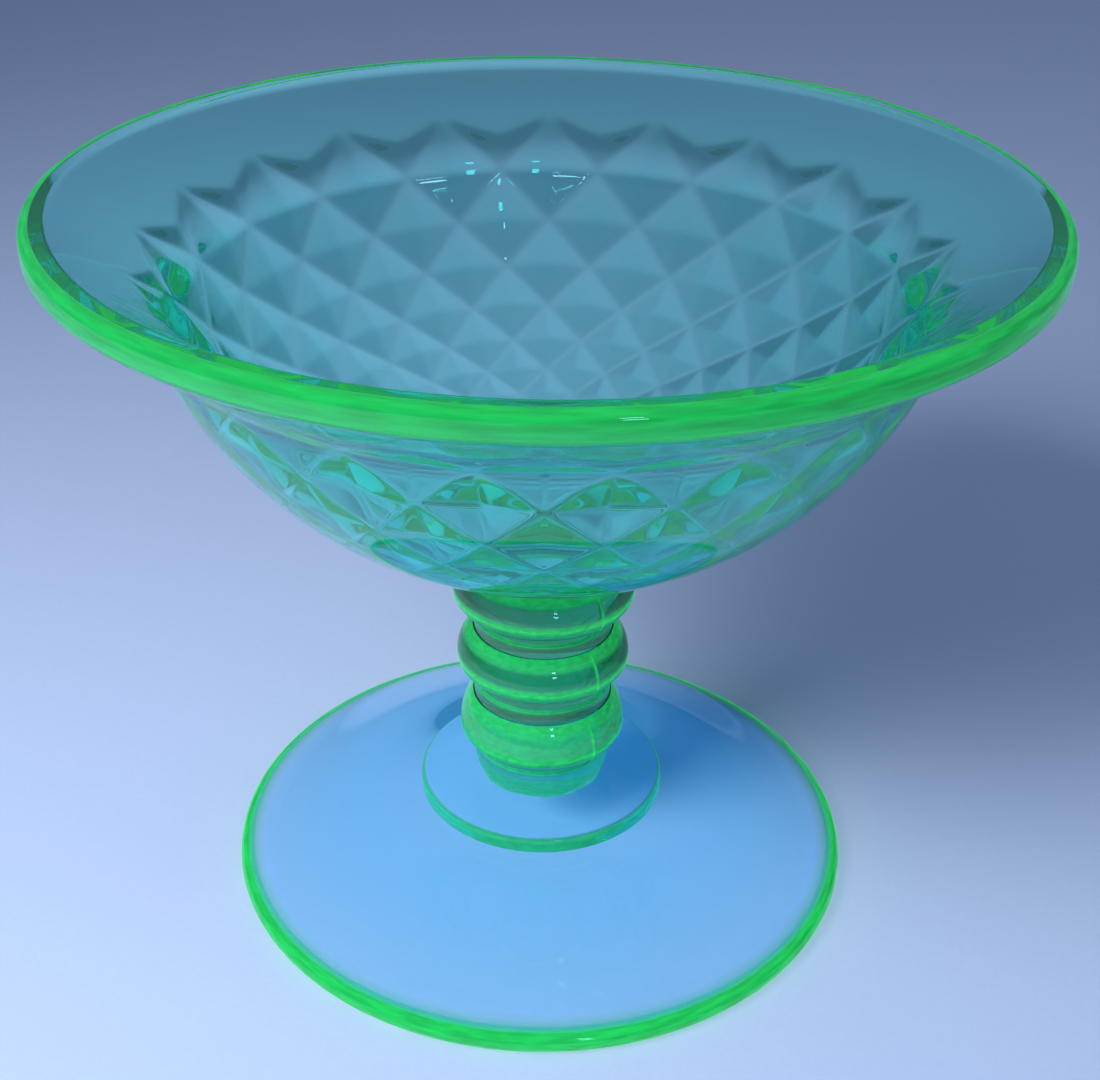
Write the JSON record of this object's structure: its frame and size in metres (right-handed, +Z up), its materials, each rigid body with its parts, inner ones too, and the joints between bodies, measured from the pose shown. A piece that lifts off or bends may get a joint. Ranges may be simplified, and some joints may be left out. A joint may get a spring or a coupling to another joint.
{
  "type": "footed glass dish",
  "caption": "Footed dish of green uranium glass: flared bowl with a diamond-faceted inside, knopped stem and domed round foot with a raised pad.",
  "frame": {"origin": "on the axis of the dish, in the plane that the foot stands on", "axes": "+Z up along the axis of the dish; +X and +Y are level, and a deep corner of the diamond pattern's top row lies on -Y"},
  "size_m": [0.152, 0.152, 0.1224],
  "materials": {
    "bowl_glass": "clear fire-polished uranium glass, yellow-green, brighter green along the rim and the facet edges",
    "stem_glass": "clear fire-polished uranium glass in thick section, strong green",
    "foot_glass": "clear fire-polished uranium glass, pale green with a bright green edge"
  },
  "bodies": {
    "root": {"bowl": "bowl_glass", "bowl_wafer": "stem_glass", "upper_knop": "stem_glass", "middle_knop": "stem_glass", "lower_knop": "stem_glass", "stem_base": "stem_glass", "foot_pad": "foot_glass", "foot": "foot_glass"}
  },
  "joints": []
}
